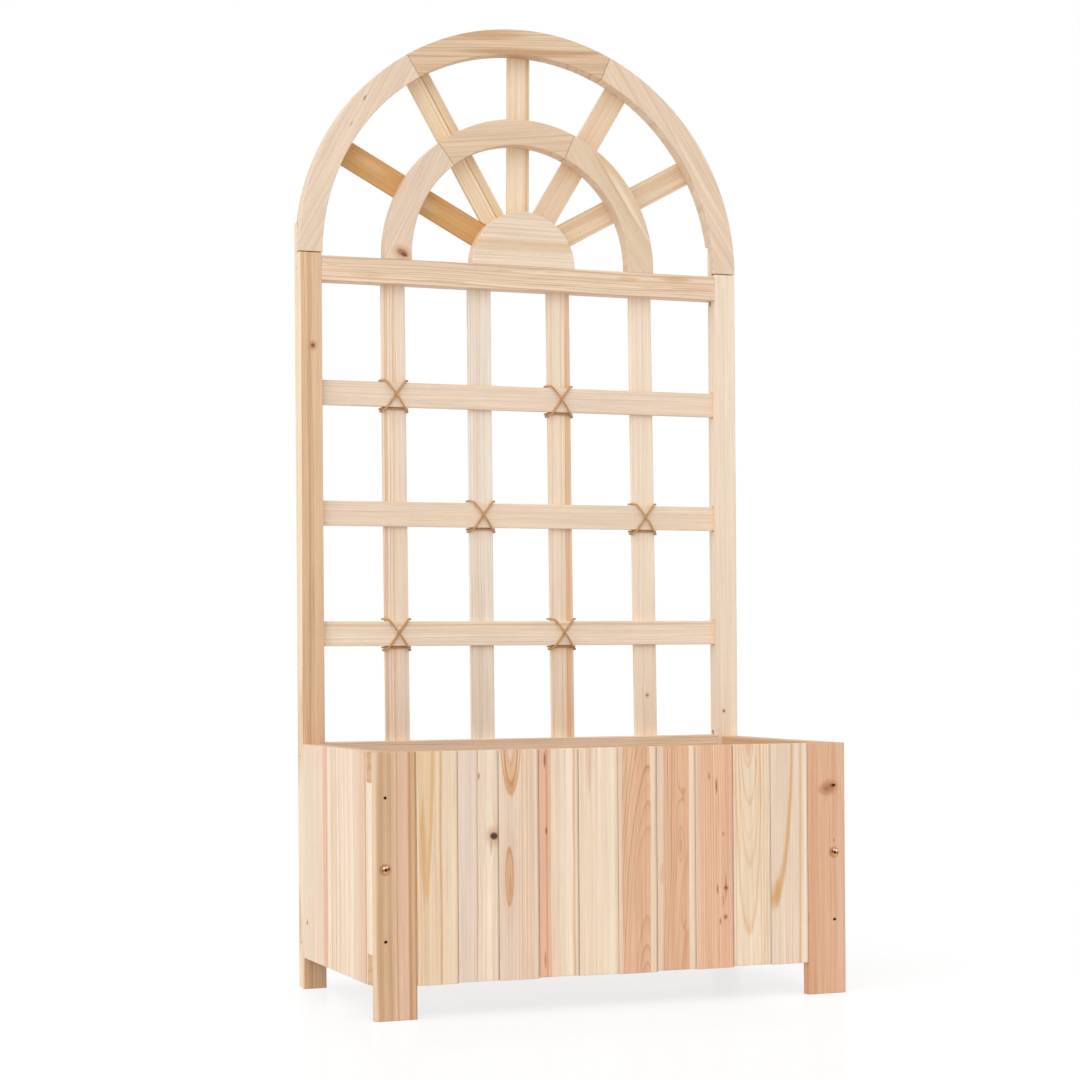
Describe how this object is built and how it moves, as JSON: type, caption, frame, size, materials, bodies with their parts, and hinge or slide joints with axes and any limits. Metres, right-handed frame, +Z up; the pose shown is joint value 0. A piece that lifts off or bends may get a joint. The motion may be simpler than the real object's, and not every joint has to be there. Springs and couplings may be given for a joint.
{
  "type": "planter with trellis",
  "caption": "Wooden planter box on four legs with an open lattice trellis behind it, topped by a round fan of spokes between two arches.",
  "frame": {"origin": "under the middle of the outer box, on the surface that the legs stand on", "axes": "+X to the right seen from the front, +Y from the front boards to the trellis, +Z up"},
  "size_m": [0.641, 0.345, 1.302],
  "materials": {
    "pine": "planed, unfinished softwood",
    "dowel": "turned hardwood",
    "twine": "twisted jute twine",
    "zinc_screw": "yellow zinc plated",
    "brad": "plain steel wire"
  },
  "bodies": {
    "root": {"arch_dowels": "dowel", "back_boards": "pine", "back_bottom_rail": "pine", "back_top_rail": "pine", "corner_batten_left": "pine", "corner_batten_right": "pine", "floor_boards": "pine", "frame_brads": "brad", "front_board_01": "pine", "front_board_02": "pine", "front_board_03": "pine", "front_board_04": "pine", "front_board_05": "pine", "front_board_06": "pine", "front_board_07": "pine", "front_board_08": "pine", "front_board_09": "pine", "front_board_10": "pine", "front_bottom_rail": "pine", "front_leg_left": "pine", "front_leg_right": "pine", "front_top_rail": "pine", "hub": "pine", "inner_arch_left": "pine", "inner_arch_right": "pine", "inner_arch_top": "pine", "lap_screws": "zinc_screw", "lattice_bar_lower": "pine", "lattice_bar_middle": "pine", "lattice_bar_upper": "pine", "lattice_slat_far_left": "pine", "lattice_slat_far_right": "pine", "lattice_slat_mid_left": "pine", "lattice_slat_mid_right": "pine", "leg_screws": "zinc_screw", "outer_arch_left": "pine", "outer_arch_right": "pine", "outer_arch_top": "pine", "post_left": "pine", "post_right": "pine", "side_boards_left": "pine", "side_boards_right": "pine", "side_rail_left_bottom": "pine", "side_rail_left_top": "pine", "side_rail_right_bottom": "pine", "side_rail_right_top": "pine", "spoke_brads": "brad", "spoke_high_left": "pine", "spoke_high_right": "pine", "spoke_low_left": "pine", "spoke_low_right": "pine", "spoke_upright": "pine", "top_rail": "pine", "twine_lower_far_left": "twine", "twine_lower_mid_right": "twine", "twine_middle_far_right": "twine", "twine_middle_mid_left": "twine", "twine_upper_far_left": "twine", "twine_upper_mid_right": "twine"}
  },
  "joints": []
}
